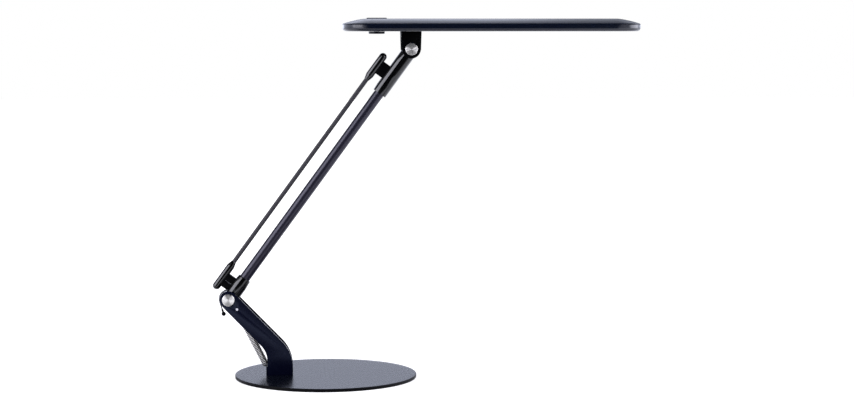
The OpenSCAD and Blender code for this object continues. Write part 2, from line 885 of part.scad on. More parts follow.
base_pad();
base_plate();
foot_block();
foot_screws();
dc_inlet();
inlet_pin();
neck_plate_front();
neck_plate_rear();
neck_spacers();
guide_pin();
guide_roller();
anchor_pin();
counter_spring();
spring_link();
neck_lead();
lower_bolt();
lower_nut();
lower_washers();
lower_cap_front();
lower_cap_rear();
lower_knuckle();
wire_pulley();
balance_wire();
wire_ball();
arm_tube();
arm_lead();
side_rod();
lower_rod_holder();
lower_rod_block();
upper_rod_holder();
upper_rod_block();
upper_knuckle();
collar_screws();
head_bracket();
bracket_screws();
upper_bolt();
upper_nut();
upper_washers();
upper_cap_front();
upper_cap_rear();
head_lower_shell();
head_top_shell();
shell_screws();
diffuser();
light_guide();
reflector_sheet();
led_strips();
heat_spreader();
driver_module();
control_board();
tact_switch();
dimmer_pot();
push_button();
dimmer_knob();
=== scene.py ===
"""Folding LED desk lamp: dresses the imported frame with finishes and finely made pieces.

Lengths in the functions below are in millimetres of the row frame unless a name ends in _m.
"""
import json
import math

import bmesh
import bpy
from mathutils import Matrix, Vector


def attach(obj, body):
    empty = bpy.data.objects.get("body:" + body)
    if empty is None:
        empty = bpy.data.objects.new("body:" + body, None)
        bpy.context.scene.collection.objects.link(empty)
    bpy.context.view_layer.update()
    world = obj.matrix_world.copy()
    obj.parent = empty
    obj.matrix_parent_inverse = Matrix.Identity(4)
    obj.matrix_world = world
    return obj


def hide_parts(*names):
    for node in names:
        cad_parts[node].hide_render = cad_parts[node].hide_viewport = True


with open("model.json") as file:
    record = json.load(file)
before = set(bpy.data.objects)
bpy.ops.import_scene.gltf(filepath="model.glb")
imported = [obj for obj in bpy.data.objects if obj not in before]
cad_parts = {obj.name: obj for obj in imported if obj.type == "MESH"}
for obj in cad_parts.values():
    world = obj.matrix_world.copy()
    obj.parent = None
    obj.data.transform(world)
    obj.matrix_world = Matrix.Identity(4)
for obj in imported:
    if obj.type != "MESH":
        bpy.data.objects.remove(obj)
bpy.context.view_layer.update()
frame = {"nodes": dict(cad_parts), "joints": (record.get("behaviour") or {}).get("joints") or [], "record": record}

MM = 0.001
NODES = frame["nodes"]
JOINTS = {joint["name"]: joint for joint in frame["joints"]}
LOW_PIVOT = Vector(JOINTS["arm_hinge"]["pos_m"]) / MM
UP_PIVOT = Vector(JOINTS["head_tilt"]["pos_m"]) / MM
DIMMER = Vector(JOINTS["dimmer_turn"]["pos_m"]) / MM

# ---------------------------------------------------------------- camera, world, lights and floor

CAMERA_AT = (-57.0, -2511.3, 431.4)
CAMERA_PITCH = 5.05
CAMERA_YAW = 4.11
CAMERA_LENS = 87.77


def make_camera():
    data = bpy.data.cameras.new("camera")
    data.sensor_width = 36.0
    data.lens = CAMERA_LENS
    data.clip_end = 100.0
    camera = bpy.data.objects.new("camera", data)
    camera.location = Vector(CAMERA_AT) * MM
    camera.rotation_euler = (math.radians(90 - CAMERA_PITCH), 0, math.radians(-CAMERA_YAW))
    bpy.context.scene.collection.objects.link(camera)
    bpy.context.scene.camera = camera


class Graph:
    """Short calls that add nodes and links to one node tree."""

    def __init__(self, tree):
        self.tree = tree
        tree.nodes.clear()

    def add(self, kind, settings=None, inputs=None):
        node = self.tree.nodes.new(kind)
        for name, value in (settings or {}).items():
            setattr(node, name, value)
        for name, value in (inputs or {}).items():
            if isinstance(value, bpy.types.NodeSocket):
                self.tree.links.new(value, node.inputs[name])
            else:
                node.inputs[name].default_value = value
        return node

    def math(self, operation, first, second=0.0, clamp=False):
        node = self.add("ShaderNodeMath", {"operation": operation, "use_clamp": clamp}, {0: first, 1: second})
        return node.outputs[0]

    def product(self, first, *others):
        for other in others:
            first = self.math("MULTIPLY", first, other)
        return first

    def cut(self, mask, depth):
        """1 where mask is 0, and 1 - depth where mask is 1."""
        return self.math("SUBTRACT", 1.0, self.math("MULTIPLY", mask, depth))

    def ramp(self, value, low, high, to_low=0.0, to_high=1.0):
        """Goes smoothly from to_low to to_high as value goes from low to high."""
        node = self.add("ShaderNodeMapRange", {"interpolation_type": "SMOOTHSTEP"},
                        {"Value": value, "From Min": low, "From Max": high, "To Min": to_low,
                         "To Max": to_high})
        return node.outputs["Result"]

    def blend(self, factor, first, second):
        """The colour that goes from first to second as factor goes from 0 to 1."""
        node = self.add("ShaderNodeMix", {"data_type": "RGBA"}, {"Factor": factor, 6: first, 7: second})
        return node.outputs[2]

    def split(self, vector):
        """The vector's X, Y and Z."""
        return self.add("ShaderNodeSeparateXYZ", None, {0: vector}).outputs


SKY_TINT = (0.79, 0.835, 1.0)
LAMP_TINT = (0.90, 0.90, 1.0)
DIFFUSE_SKY = 0.45

# The sky that reflections see, as smooth ramps over the direction's X, Y or Z: (from, to, level, level)
SKY_BEHIND = (-0.45, 0.1, 0.03, 1.2)
SKY_ROOF = (0.33, 0.66, 1.0, 0.15)
SKY_HORIZON = (0.03, 0.13, 2.0, 0.42)
SKY_CROWN = (0.2, 0.3, 1.0, 3.5)
GAP_START = (0.1, 0.15, 0.0, 1.0)
GAP_END = (0.2, 0.35, 1.0, 0.0)
GAP_DEPTH = 0.6
SIDE_START = (0.25, 0.6, 0.0, 1.0)
SIDE_RAISED = (0.08, 0.28, 0.0, 1.0)
SIDE_DEPTH = 0.8


def mirrored_sky(g):
    """Reflections see a bright back that is brightest low down and high up, and a dark front and sides."""
    x, y, z = g.split(g.add("ShaderNodeTexCoord").outputs["Generated"])
    gap = g.product(g.ramp(x, *GAP_START), g.ramp(x, *GAP_END))
    sides = g.product(g.ramp(g.math("ABSOLUTE", x), *SIDE_START), g.ramp(z, *SIDE_RAISED))
    backdrop = g.product(g.ramp(z, *SKY_HORIZON), g.ramp(z, *SKY_CROWN), g.cut(gap, GAP_DEPTH))
    return g.product(g.ramp(y, *SKY_BEHIND), g.ramp(z, *SKY_ROOF), g.cut(sides, SIDE_DEPTH), backdrop)


def sky_color(g, path):
    """White, and tinted in reflections."""
    return g.blend(path["Is Glossy Ray"], (1, 1, 1, 1), SKY_TINT + (1,))


def make_world():
    """White where the camera looks past the lamp; an even grey for diffuse light; a studio in reflections."""
    world = bpy.data.worlds.new("studio")
    world.use_nodes = True
    bpy.context.scene.world = world
    g = Graph(world.node_tree)
    path = g.add("ShaderNodeLightPath").outputs
    soft = g.math("MULTIPLY", path["Is Diffuse Ray"], DIFFUSE_SKY)
    level = g.math("MAXIMUM", g.math("MULTIPLY", path["Is Glossy Ray"], mirrored_sky(g)), soft)
    clear = g.math("MAXIMUM", path["Is Camera Ray"], path["Is Transmission Ray"])
    strength = g.math("MAXIMUM", level, clear)
    shade = g.add("ShaderNodeBackground", None, {"Color": sky_color(g, path), "Strength": strength})
    g.add("ShaderNodeOutputWorld", None, {"Surface": shade.outputs[0]})


LIGHT_AIM = Vector((0.05, 0, 0.25))


def make_softbox(name, at_m, size_m, radiance, mirrored=True):
    """A rectangular softbox that faces the lamp; radiance is how bright its surface looks."""
    data = bpy.data.lights.new(name, "AREA")
    data.shape = "RECTANGLE"
    data.size, data.size_y = size_m
    data.color = LAMP_TINT
    data.energy = radiance * math.pi * size_m[0] * size_m[1]
    lamp = bpy.data.objects.new(name, data)
    lamp.location = at_m
    lamp.rotation_euler = (LIGHT_AIM - Vector(at_m)).to_track_quat("-Z", "Y").to_euler()
    lamp.visible_camera = False
    lamp.visible_glossy = mirrored
    bpy.context.scene.collection.objects.link(lamp)


def make_lights():
    make_softbox("overhead", (0.1, -0.2, 2.4), (2.4, 1.8), 1.6, mirrored=False)
    make_softbox("left_front", (-1.84, -1.0, 0.97), (2.0, 1.6), 5.4)
    make_softbox("right", (2.3, 0.1, 0.5), (1.8, 1.2), 5.0)
    make_softbox("right_front", (1.7, -1.25, 1.15), (1.3, 1.3), 5.2)


FLOOR_REACH = 9.0
FLOOR_DROP = 0.0002
FLOOR_WHITE = (0.8, 0.8, 0.8, 1)

# Black flags that only reflections see, as smooth ramps in metres: (from, to, level, level)
FLAG_AHEAD = (-0.85, -0.55, 1.0, 0.0)
FLAG_NEAR_START = (-0.32, -0.18, 0.0, 1.0)
FLAG_NEAR_END = (-0.1, 0, 1, 0)
FLAG_SPREAD = 0.35
FLAG_ASIDE = (0.18, 0.42, 1.0, 0.0)
FLAG_DEPTH = 0.97

# The floor's glow: by distance along Y for reflections too, and by radius for the camera alone
GLOW_AWAY = (0.3, 1.2, 0.4, 0.75)
GLOW_RADIUS = (0.4, 1.6, 0.4, 1.0)


def floor_flags(g, x, away, y, path):
    """1 on the flags: one some way in front of the lamp and one close by, both between widening sides."""
    near = g.product(g.ramp(y, *FLAG_NEAR_START), g.ramp(y, *FLAG_NEAR_END))
    dark = g.math("MAXIMUM", g.ramp(y, *FLAG_AHEAD), near)
    aside = g.math("SUBTRACT", g.math("ABSOLUTE", x), g.math("MULTIPLY", away, FLAG_SPREAD))
    return g.product(dark, g.ramp(aside, *FLAG_ASIDE), path["Is Glossy Ray"])


def floor_glow(g, x, away, y, path):
    """How strongly the floor glows; it grows away from the lamp, so that the shadow is kept."""
    radius = g.math("SQRT", g.math("ADD", g.product(x, x), g.product(y, y)))
    far = g.product(g.ramp(radius, *GLOW_RADIUS), path["Is Camera Ray"])
    return g.math("MAXIMUM", g.ramp(away, *GLOW_AWAY), far)


def floor_material():
    """White paint that takes the shadow, with a glow added for the camera and for reflections."""
    material = bpy.data.materials.new("floor_white")
    material.use_nodes = True
    g = Graph(material.node_tree)
    x, y, _ = g.split(g.add("ShaderNodeTexCoord").outputs["Object"])
    away = g.math("ABSOLUTE", y)
    path = g.add("ShaderNodeLightPath").outputs
    keep = g.cut(floor_flags(g, x, away, y, path), FLAG_DEPTH)
    seen = g.math("MAXIMUM", path["Is Camera Ray"], path["Is Glossy Ray"])
    glow = g.product(seen, keep, floor_glow(g, x, away, y, path))
    paint = g.add("ShaderNodeBsdfDiffuse", None, {"Color": g.blend(keep, (0, 0, 0, 1), FLOOR_WHITE)})
    lift = g.add("ShaderNodeEmission", None, {"Color": sky_color(g, path), "Strength": glow})
    both = g.add("ShaderNodeAddShader", None, {0: paint.outputs[0], 1: lift.outputs[0]})
    g.add("ShaderNodeOutputMaterial", None, {"Surface": both.outputs[0]})
    return material


def make_floor():
    mesh = bpy.data.meshes.new("floor")
    corners = [(-1, -1), (1, -1), (1, 1), (-1, 1)]
    mesh.from_pydata([(x * FLOOR_REACH, y * FLOOR_REACH, 0) for x, y in corners], [], [(0, 1, 2, 3)])
    mesh.materials.append(floor_material())
    floor = bpy.data.objects.new("floor", mesh)
    floor.location.z = -FLOOR_DROP
    bpy.context.scene.collection.objects.link(floor)


# ---------------------------------------------------------------- finishes


CLOUD_SHARE = 0.04
ROUGH_SPREAD = 0.08
RELIEF_M = 0.0002


def coat_of(name, color, rough, metallic=0.0, grain=900.0, bump=0.03, tone=0.12, specular=0.5,
            tint=(1, 1, 1), anisotropic=0.0, turn=0.0, radial=None):
    """A finish whose colour, roughness and surface vary slightly; grain is in waves per metre."""
    material = bpy.data.materials.new(name)
    material.use_nodes = True
    g = Graph(material.node_tree)
    place = g.add("ShaderNodeTexCoord").outputs["Object"]
    cloud = g.add("ShaderNodeTexNoise", None,
                  {"Vector": place, "Scale": grain * CLOUD_SHARE, "Detail": 4.0})
    fine = g.add("ShaderNodeTexNoise", None, {"Vector": place, "Scale": grain, "Detail": 2.0})
    dark = tuple(c * (1 - tone) for c in color) + (1,)
    light = tuple(min(1.0, c * (1 + tone)) for c in color) + (1,)
    shade = g.blend(cloud.outputs["Fac"], dark, light)
    spread = g.math("MULTIPLY", fine.outputs["Fac"], ROUGH_SPREAD)
    roughness = g.math("ADD", spread, rough - ROUGH_SPREAD / 2)
    relief = g.add("ShaderNodeBump", None,
                   {"Height": fine.outputs["Fac"], "Strength": bump, "Distance": RELIEF_M})
    inputs = {"Base Color": shade, "Roughness": roughness, "Metallic": metallic,
              "Specular IOR Level": specular, "Specular Tint": tint + (1,), "Anisotropic": anisotropic,
              "Anisotropic Rotation": turn, "Normal": relief.outputs["Normal"]}
    if radial:
        tangent = g.add("ShaderNodeTangent", {"direction_type": "RADIAL", "axis": radial})
        inputs["Tangent"] = tangent.outputs[0]
    shader = g.add("ShaderNodeBsdfPrincipled", None, inputs)
    g.add("ShaderNodeOutputMaterial", None, {"Surface": shader.outputs[0]})
    return material


BLUISH = (0.62, 0.72, 1.0)


def make_finishes():
    return {
        "base": coat_of("base_satin_black", (0.0010, 0.0015, 0.003), 0.27, tint=BLUISH),
        "rim": coat_of("base_rim_black", (0.002, 0.002, 0.003), 0.55, specular=0.1),
        "foam": coat_of("foam_black", (0.02, 0.02, 0.022), 0.9, grain=2500, bump=0.6),
        "neck": coat_of("neck_satin_black", (0.0010, 0.0014, 0.0075), 0.26, specular=0.36, tint=BLUISH),
        "edge": coat_of("neck_cut_edge", (0.003, 0.004, 0.006), 0.10, specular=0.7),
        # painted shade: a blacker, duller black for the neck faces in the gap between the plates and the rear
        # plate's edges, where shade falls; the bracket's side faces also take it as a plain dull black
        "inner": coat_of("dull_black_and_painted_shade", (0.001, 0.001, 0.002), 0.6, specular=0.1),
        "gloss": coat_of("knuckle_gloss_black", (0.0004, 0.0004, 0.0006), 0.13, bump=0.01, specular=0.6),
        "tube": coat_of("tube_satin_black", (0.006, 0.0055, 0.012), 0.30, bump=0.01, specular=0.5,
                        tint=(0.88, 0.86, 1.0)),
        "rod": coat_of("rod_dark_grey", (0.026, 0.025, 0.030), 0.5, specular=0.25),
        "block": coat_of("block_dark", (0.0006, 0.0006, 0.001), 0.4, specular=0.06),
        "steel": coat_of("plain_steel", (0.60, 0.60, 0.62), 0.3, metallic=1.0, grain=1500),
        "spring": coat_of("spring_steel", (0.12, 0.115, 0.112), 0.36, metallic=0.4, grain=2500, bump=0.1),
        "pin": coat_of("pin_bright", (0.62, 0.62, 0.68), 0.4, metallic=0.3),
        "cap": coat_of("turned_steel", (0.92, 0.90, 0.85), 0.31, metallic=1.0, grain=2500, bump=0.0,
                       tone=0.02, anisotropic=1.0, turn=0.25, radial="Y"),
        "zinc": coat_of("zinc_grey", (0.36, 0.36, 0.38), 0.4, metallic=0.9, grain=1500),
        "brass": coat_of("roller_brass", (0.70, 0.52, 0.24), 0.3, metallic=1.0, grain=1500),
        "nylon": coat_of("washer_nylon", (0.75, 0.73, 0.68), 0.5),
        "contact": coat_of("gilt_contact", (0.85, 0.62, 0.25), 0.2, metallic=1.0, grain=1500),
        "plastic": coat_of("inlet_plastic", (0.015, 0.015, 0.017), 0.5),
        "lead": coat_of("lead_jacket", (0.012, 0.012, 0.014), 0.55),
        "shell": coat_of("shell_satin_black", (0.0004, 0.002, 0.008), 0.22, bump=0.01, specular=0.5),
        "white": coat_of("diffuser_white", (0.82, 0.82, 0.80), 0.45, grain=3000, bump=0.1, tone=0.01),
        "clear": coat_of("guide_acrylic", (0.72, 0.78, 0.80), 0.1, tone=0.02),
        "led": coat_of("led_phosphor", (0.80, 0.72, 0.30), 0.5),
        "spreader": coat_of("spreader_aluminium", (0.66, 0.66, 0.68), 0.35, metallic=1.0),
        "board": coat_of("board_green", (0.02, 0.16, 0.07), 0.35),
        "button": coat_of("button_dark_grey", (0.006, 0.006, 0.009), 0.8, specular=0.03),
        "knob": coat_of("knob_dark_grey", (0.002, 0.003, 0.006), 0.28, specular=0.3),
    }


NODE_FINISH = {
    "base_pad": "foam", "base_plate": "base", "foot_block": "neck", "foot_screws": "steel",
    "dc_inlet": "plastic", "inlet_pin": "contact", "neck_plate_front": "neck", "neck_plate_rear": "neck",
    "neck_spacers": "neck", "guide_pin": "pin", "guide_roller": "brass", "anchor_pin": "steel",
    "counter_spring": "spring", "spring_link": "steel", "neck_lead": "lead", "lower_bolt": "steel",
    "lower_nut": "steel", "lower_washers": "nylon", "lower_cap_front": "cap", "lower_cap_rear": "cap",
    "lower_knuckle": "gloss", "wire_pulley": "zinc", "balance_wire": "lead", "wire_ball": "block",
    "arm_tube": "tube", "arm_lead": "lead", "side_rod": "rod", "lower_rod_holder": "gloss",
    "lower_rod_block": "block", "upper_rod_holder": "gloss", "upper_rod_block": "block",
    "upper_knuckle": "gloss", "collar_screws": "steel", "head_bracket": "block", "bracket_screws": "steel",
    "upper_bolt": "steel", "upper_nut": "steel", "upper_washers": "nylon", "upper_cap_front": "cap",
    "upper_cap_rear": "cap", "head_lower_shell": "shell", "head_top_shell": "shell", "shell_screws": "steel",
    "diffuser": "white", "light_guide": "clear", "reflector_sheet": "white", "led_strips": "led",
    "heat_spreader": "spreader", "driver_module": "board", "control_board": "board",
    "tact_switch": "plastic", "dimmer_pot": "steel", "push_button": "button", "dimmer_knob": "knob",
}

# ---------------------------------------------------------------- mesh helpers

SHARP_ANGLE = math.radians(32)


def finish_mesh(bm, name, finish, place=None):
    """Turns bm, in millimetres, into a smooth-shaded object in metres, with sharp edges kept sharp."""
    bmesh.ops.remove_doubles(bm, verts=bm.verts, dist=0.0005)
    bmesh.ops.recalc_face_normals(bm, faces=bm.faces)
    for face in bm.faces:
        face.smooth = True
    for edge in bm.edges:
        if len(edge.link_faces) == 2 and edge.calc_face_angle(0.0) > SHARP_ANGLE:
            edge.smooth = False
    bm.transform(Matrix.Scale(MM, 4) @ (place or Matrix.Identity(4)))
    mesh = bpy.data.meshes.new(name)
    bm.to_mesh(mesh)
    bm.free()
    mesh.materials.append(finish)
    thing = bpy.data.objects.new(name, mesh)
    bpy.context.scene.collection.objects.link(thing)
    return thing


def stand_for(thing, body, *nodes):
    """thing rides on body and stands for nodes."""
    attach(thing, body)
    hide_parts(*nodes)


def round_wire(name, points, radius, finish, sides=3):
    """A round wire through points in millimetres, as a curve with closed ends."""
    data = bpy.data.curves.new(name, "CURVE")
    data.dimensions = "3D"
    data.bevel_depth = radius * MM
    data.bevel_resolution = sides
    data.use_fill_caps = True
    spline = data.splines.new("POLY")
    spline.points.add(len(points) - 1)
    for point, place in zip(spline.points, points):
        point.co = (place[0] * MM, place[1] * MM, place[2] * MM, 1)
    data.materials.append(finish)
    thing = bpy.data.objects.new(name, data)
    bpy.context.scene.collection.objects.link(thing)
    return thing


# ---------------------------------------------------------------- softened edges

# Nodes with machined or moulded edges, and the width of each edge's bevel
SOFT_EDGES = {
    "neck_plate_front": 0.2, "neck_plate_rear": 0.2, "head_bracket": 0.5, "foot_block": 0.4,
    "lower_rod_block": 0.3, "upper_rod_block": 0.3, "wire_pulley": 0.15, "lower_nut": 0.25,
    "upper_nut": 0.25, "dc_inlet": 0.2, "push_button": 0.2, "dimmer_knob": 0.4,
    "lower_knuckle": 0.25, "upper_knuckle": 0.25, "lower_rod_holder": 0.2, "upper_rod_holder": 0.2,
}
BODY_OF = {node: body for body, nodes in frame["record"]["behaviour"]["bodies"].items() for node in nodes}
NECK_FACE, BRACKET_FACE = 12.5, 12.2
FLAT_ANGLE = math.radians(0.6)
EDGE_ANGLE = math.radians(35)


def soften(name, width, finish):
    """A copy of a CAD node whose sharp edges carry a small round bevel, as a made part's do."""
    bm = bmesh.new()
    bm.from_mesh(NODES[name].data)
    bm.transform(Matrix.Scale(1 / MM, 4))
    bmesh.ops.remove_doubles(bm, verts=bm.verts, dist=0.001)
    bmesh.ops.dissolve_limit(bm, angle_limit=FLAT_ANGLE, verts=bm.verts, edges=bm.edges)
    sharp = [e for e in bm.edges if len(e.link_faces) == 2 and e.calc_face_angle(0.0) > EDGE_ANGLE]
    bmesh.ops.bevel(bm, geom=sharp, offset=width, segments=2, profile=0.6, affect="EDGES", clamp_overlap=True)
    thing = finish_mesh(bm, name + "_soft", finish)
    stand_for(thing, BODY_OF[name], name)
    return thing


def paint_neck_plate(plate, finishes):
    """The front plate's cut edge shines more than its face; the faces in the gap and the rear plate's edge carry
    painted shade, a blacker and duller black, as shade falls between the plates.
    """
    front = plate.name.startswith("neck_plate_front")
    plate.data.materials.append(finishes["edge" if front else "inner"])
    plate.data.materials.append(finishes["inner"])
    inward = 1 if front else -1
    for face in plate.data.polygons:
        if abs(face.normal.y) < 0.3:
            face.material_index = 1
        elif face.normal.y * inward > 0.9:
            face.material_index = 2


def paint_bracket(bracket, finishes):
    """The bracket's side faces are dull."""
    bracket.data.materials.append(finishes["inner"])
    for face in bracket.data.polygons:
        if abs(face.normal.x) > 0.9:
            face.material_index = 1


def soften_edges(finishes):
    for name, width in SOFT_EDGES.items():
        thing = soften(name, width, finishes[NODE_FINISH[name]])
        if name.startswith("neck_plate"):
            paint_neck_plate(thing, finishes)
        if name == "head_bracket":
            paint_bracket(thing, finishes)


# ---------------------------------------------------------------- base

BASE_R, PAD_T, BASE_TOP = 109.99, 0.6, 4.0
RIM_R = 0.6
LIP_R, LIP_Z = 105.4, 0.05
FACE_R = BASE_R - 8
LATHE_STEPS = 192
QUARTER_TURN = [math.radians(15 * i) for i in range(7)]


def lathe(bm, profile, steps=LATHE_STEPS):
    """Turns a profile of (radius, z) points about Z; a zero radius closes the form."""
    turns = [2 * math.pi * i / steps for i in range(steps)]
    rings = [[bm.verts.new((r * math.cos(a), r * math.sin(a), z)) for a in turns] if r > 0
             else bm.verts.new((0, 0, z)) for r, z in profile]
    for first, second in zip(rings, rings[1:]):
        for i in range(steps):
            j = (i + 1) % steps
            if isinstance(first, list) and isinstance(second, list):
                bm.faces.new((first[i], first[j], second[j], second[i]))
            elif isinstance(first, list):
                bm.faces.new((first[i], first[j], second))
            else:
                bm.faces.new((first, second[j], second[i]))


def make_base(finishes):
    """The turned plate; a low lip runs round the foam pad, so the dark edge reaches the table."""
    rim = [(BASE_R - RIM_R + RIM_R * math.cos(a), RIM_R * math.sin(a)) for a in QUARTER_TURN]
    low = [(r, LIP_Z + RIM_R - rise) for r, rise in reversed(rim)]
    top = [(r, BASE_TOP - RIM_R + rise) for r, rise in rim]
    under = [(0, PAD_T), (LIP_R, PAD_T), (LIP_R, LIP_Z)]
    bm = bmesh.new()
    lathe(bm, under + low + top + [(FACE_R, BASE_TOP), (0, BASE_TOP)])
    plate = finish_mesh(bm, "base_plate_turned", finishes["base"])
    plate.data.materials.append(finishes["rim"])
    for face in plate.data.polygons:
        if abs(face.normal.z) < 0.8:
            face.material_index = 1
    stand_for(plate, "base", "base_plate")


# ---------------------------------------------------------------- pivot caps

CAP_R, CAP_WALL, CAP_H, CAP_SKIN = 7.3, 1.1, 3.0, 0.8
CAP_EDGE_R = 0.45
CAP_DOME = 0.42
CAP_DOME_STEPS = 12
CAP_STEPS = 96


def make_cap(name, pivot, face_y, side, finishes):
    """A cup over a bolt head or nut, turned with a slightly domed face; side is -1 in front, 1 behind."""
    flat_r = CAP_R - CAP_EDGE_R
    shoulder = CAP_H - CAP_DOME - CAP_EDGE_R
    edge = [(flat_r + CAP_EDGE_R * math.cos(a), shoulder + CAP_EDGE_R * math.sin(a))
            for a in QUARTER_TURN]
    spread = [1 - i / CAP_DOME_STEPS for i in range(1, CAP_DOME_STEPS + 1)]
    dome = [(flat_r * part, CAP_H - CAP_DOME * part * part) for part in spread]
    cup = [(0, CAP_H - CAP_SKIN), (CAP_R - CAP_WALL, CAP_H - CAP_SKIN),
           (CAP_R - CAP_WALL, 0), (CAP_R, 0)]
    bm = bmesh.new()
    lathe(bm, cup + edge + dome, CAP_STEPS)
    upright = Matrix.Rotation(math.radians(-90 * side), 4, "X")
    place = Matrix.Translation(pivot + Vector((0, side * face_y, 0))) @ upright
    cap = finish_mesh(bm, name + "_turned", finishes["cap"], place)
    stand_for(cap, BODY_OF[name], name)


def make_caps(finishes):
    for end, pivot, face_y in (("lower", LOW_PIVOT, NECK_FACE), ("upper", UP_PIVOT, BRACKET_FACE)):
        make_cap(end + "_cap_front", pivot, face_y, -1, finishes)
        make_cap(end + "_cap_rear", pivot, face_y, 1, finishes)


# ---------------------------------------------------------------- counter spring

SPRING_DIP = math.radians(63.3)
SPRING_MID = Vector((-83.7, 0, 37.3))
SPRING_DIR = Vector((math.cos(SPRING_DIP), 0, -math.sin(SPRING_DIP)))
SPRING_SIDE = Vector((math.sin(SPRING_DIP), 0, math.cos(SPRING_DIP)))
SPRING_FROM, SPRING_TO = -31.0, 24.0
ANCHOR_AT = 32.5
SPRING_R = 3.45
SPRING_WIRE_R = 0.76
SPRING_TURNS = 29
COIL_STEPS = 18
HOOK_R = 2.25
HOOK_START, HOOK_SWEEP, HOOK_STEPS = -110, 290, 24
BLEND_STEPS = 9
TAIL_LEN = 3.0


def spring_point(along, radius, angle):
    across = SPRING_SIDE * math.cos(angle) + Vector((0, 1, 0)) * math.sin(angle)
    return SPRING_MID + SPRING_DIR * along + across * radius


def hook_points():
    """The end loop round the anchor pin."""
    angles = [math.radians(HOOK_START + HOOK_SWEEP * i / HOOK_STEPS) for i in range(HOOK_STEPS + 1)]
    return [SPRING_MID + SPRING_DIR * (ANCHOR_AT + HOOK_R * math.cos(angle))
            + SPRING_SIDE * HOOK_R * math.sin(angle) for angle in angles]


def coil_points():
    """The wire from the hook out to the coil, round all its turns, and in to the axis at the other end."""
    half_turn = [(i / BLEND_STEPS, math.pi * i / BLEND_STEPS) for i in range(1, BLEND_STEPS + 1)]
    hook_end = ANCHOR_AT - HOOK_R
    lead_in = [spring_point(hook_end + (SPRING_TO - ANCHOR_AT + HOOK_R) * part, SPRING_R * part ** 2, angle)
               for part, angle in half_turn]
    count = SPRING_TURNS * COIL_STEPS
    coil = [spring_point(SPRING_TO + (SPRING_FROM - SPRING_TO) * i / count, SPRING_R,
                         math.pi + 2 * math.pi * i / COIL_STEPS) for i in range(1, count + 1)]
    lead_out = [spring_point(SPRING_FROM - TAIL_LEN * part, SPRING_R * (1 - part) ** 2, math.pi + angle)
                for part, angle in half_turn]
    return lead_in + coil + lead_out


def make_spring(finishes):
    points = hook_points() + coil_points()
    coil = round_wire("counter_spring_coils", points, SPRING_WIRE_R, finishes["spring"])
    stand_for(coil, "base", "counter_spring")


# ---------------------------------------------------------------- head shells

HEAD_LEN, HEAD_W, HEAD_BACK = 357.4, 110.0, 82.0
HEAD_LIFT, SEAM, ROOF, WALL = 21.4, 29.4, 36.5, 1.8
CORNER_R, EDGE_R = 34.0, 4.5
WINDOW = (24.0, 236.0, 88.0)
HEAD_MID_X = HEAD_LEN / 2 - HEAD_BACK
CONTROL_X = DIMMER.x - UP_PIVOT.x
BUTTON_HOLE_R = 12.5
KNOB_HOLE_R = 3.3
WINDOW_CORNER_R = 4.0
WINDOW_BEVEL = 0.4
BUTTON_BEVEL = 0.35
SHELL_SCREWS = ((-73.0, 22.0), (-73.0, -22.0), (266.5, 14.0), (266.5, -14.0))
SINK_R, SINK_DEPTH, SINK_STEPS = 2.95, 0.9, 32
CORNER_STEPS = 14
SEAM_NICK = 0.25
UNDERSIDE_INSET = 7.0


def plan_ring(inset, z):
    """The head's plan outline drawn in by inset, as points at height z."""
    radius = max(CORNER_R - inset, 1.0)
    half_x, half_y = HEAD_LEN / 2 - inset - radius, HEAD_W / 2 - inset - radius
    points = []
    for quarter, (sx, sy) in enumerate(((1, 1), (-1, 1), (-1, -1), (1, -1))):
        for i in range(CORNER_STEPS + 1):
            angle = math.pi / 2 * (quarter + i / CORNER_STEPS)
            points.append((HEAD_MID_X + sx * half_x + radius * math.cos(angle),
                           sy * half_y + radius * math.sin(angle), z))
    return points


def circle_ring(x, y, radius, z, count=48):
    turns = [2 * math.pi * i / count for i in range(count)]
    return [(x + radius * math.cos(a), y + radius * math.sin(a), z) for a in turns]


def box_ring(mid_x, size_x, size_y, radius, z, steps=6):
    points = []
    for quarter, (sx, sy) in enumerate(((1, 1), (-1, 1), (-1, -1), (1, -1))):
        for i in range(steps + 1):
            angle = math.pi / 2 * (quarter + i / steps)
            points.append((mid_x + sx * (size_x / 2 - radius) + radius * math.cos(angle),
                           sy * (size_y / 2 - radius) + radius * math.sin(angle), z))
    return points


def add_loop(bm, points):
    return [bm.verts.new(point) for point in points]


def bridge(bm, first, second):
    count = len(first)
    for i in range(count):
        j = (i + 1) % count
        bm.faces.new((first[i], first[j], second[j], second[i]))


def fill_with_holes(bm, loops):
    """Fills the flat face inside the first loop and outside the others."""
    edges = []
    for loop in loops:
        for i, vert in enumerate(loop):
            other = loop[(i + 1) % len(loop)]
            edges.append(bm.edges.get((vert, other)) or bm.edges.new((vert, other)))
    bmesh.ops.triangle_fill(bm, use_beauty=True, use_dissolve=False, edges=edges, normal=(0, 0, 1))


def loft(bm, rings):
    """Bridges each ring of points to the next and returns the first and last loops."""
    loops = [add_loop(bm, ring) for ring in rings]
    for first, second in zip(loops, loops[1:]):
        bridge(bm, first, second)
    return loops[0], loops[-1]


DOME_REACH = 28.6
DOME_EDGE = 2.2
DOME_H = ROOF - SEAM
DOME_FALL, DOME_POWER = 0.0461, 1.47
PLATEAU_INSET = 31.0
# The inside of the top shell, as (inset, height)
TOP_INSIDE = ((WALL, SEAM), (WALL, SEAM + 0.2), (12.0, SEAM + 3.2), (29.0, ROOF - WALL))


def dome_height(inset):
    """Height of the top shell above the seam, inset millimetres in from the head's outline."""
    slope = DOME_H - DOME_FALL * max(DOME_REACH - inset, 0.0) ** DOME_POWER
    edge = min(inset / DOME_EDGE, 1.0)
    return slope * math.sqrt(1 - (1 - edge) ** 2)


